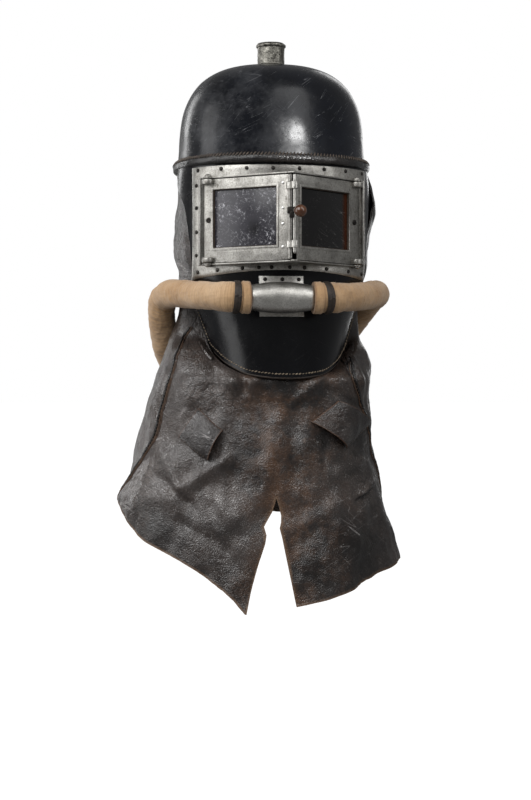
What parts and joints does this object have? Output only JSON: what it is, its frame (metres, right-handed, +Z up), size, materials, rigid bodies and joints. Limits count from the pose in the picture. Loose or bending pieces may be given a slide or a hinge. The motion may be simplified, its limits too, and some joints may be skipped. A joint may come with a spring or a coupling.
{
  "type": "smoke helmet",
  "caption": "Fireman's smoke helmet: hard crown and mask with a two-door visor, air hoses round the neck and a leather hood and cape.",
  "frame": {"origin": "inner top of the crown, where the helmet sits on the head", "axes": "+Z up, -Y the way the face looks, +X the wearer's left"},
  "size_m": [0.3533, 0.3764, 0.6962],
  "materials": {
    "japanned_leather": "glossy black enamel on hard leather, scratched",
    "soft_leather": "worn dark grey-brown soft leather",
    "welt_thread": "dark leather welt whipped with brown waxed thread",
    "nickel_plate": "worn satin nickel plate",
    "tinned_tube": "dull dented tinned metal",
    "dark_metal": "dark tarnished metal",
    "visor_glass": "dusty smoked glass",
    "horn": "polished amber-brown horn",
    "hose_cloth": "tan rubberised cloth with fine wire ribs"
  },
  "bodies": {
    "shell": {"crown": "japanned_leather", "seam_welt": "welt_thread", "face_mask": "japanned_leather", "hood_back": "soft_leather", "cape_front": "soft_leather", "keeper_left": "soft_leather", "keeper_right": "soft_leather", "exhaust_tube": "tinned_tube", "visor_frame": "nickel_plate", "air_inlet": "nickel_plate", "hose_left": "hose_cloth", "hose_right": "hose_cloth", "band_left": "dark_metal", "band_right": "dark_metal", "air_manifold": "dark_metal", "rivet_top_1": "dark_metal", "rivet_top_2": "dark_metal", "rivet_top_3": "dark_metal", "rivet_top_4": "dark_metal", "rivet_top_5": "dark_metal", "rivet_top_6": "dark_metal", "rivet_top_7": "dark_metal", "rivet_top_8": "dark_metal", "rivet_foot_1": "dark_metal", "rivet_foot_2": "dark_metal", "rivet_foot_3": "dark_metal", "rivet_foot_4": "dark_metal", "rivet_foot_5": "dark_metal", "rivet_foot_6": "dark_metal", "rivet_foot_7": "dark_metal", "rivet_foot_8": "dark_metal", "rivet_foot_9": "dark_metal", "rivet_foot_10": "dark_metal", "rivet_left_1": "dark_metal", "rivet_left_2": "dark_metal", "rivet_left_3": "dark_metal", "rivet_left_4": "dark_metal", "rivet_right_1": "dark_metal", "rivet_right_2": "dark_metal", "rivet_right_3": "dark_metal", "rivet_right_4": "dark_metal", "rivet_inlet_1": "dark_metal", "rivet_inlet_2": "dark_metal", "rivet_inlet_3": "dark_metal"},
    "door_left": {"door_left": "nickel_plate", "pane_left": "visor_glass", "screw_left": "dark_metal", "collar_upper": "nickel_plate", "collar_lower": "nickel_plate", "rivet_door_1": "nickel_plate", "rivet_door_2": "nickel_plate", "rivet_door_3": "nickel_plate", "rivet_door_4": "nickel_plate"},
    "door_right": {"door_right": "nickel_plate", "pane_right": "visor_glass", "screw_right": "dark_metal"},
    "bolt": {"bolt_rod": "nickel_plate", "ball_knob": "horn"}
  },
  "joints": [
    {"name": "door_left_hinge", "type": "hinge", "parent": "shell", "child": "door_left", "pos_m": [-0.091, -0.087, -0.197], "axis": [0, 0, -1], "range_deg": [0, 110]},
    {"name": "door_right_hinge", "type": "hinge", "parent": "shell", "child": "door_right", "pos_m": [0.091, -0.087, -0.197], "axis": [0, 0, 1], "range_deg": [0, 110]},
    {"name": "bolt_slide", "type": "slide", "parent": "door_left", "child": "bolt", "axis": [0, 0, -1], "range_m": [0, 0.009]}
  ]
}
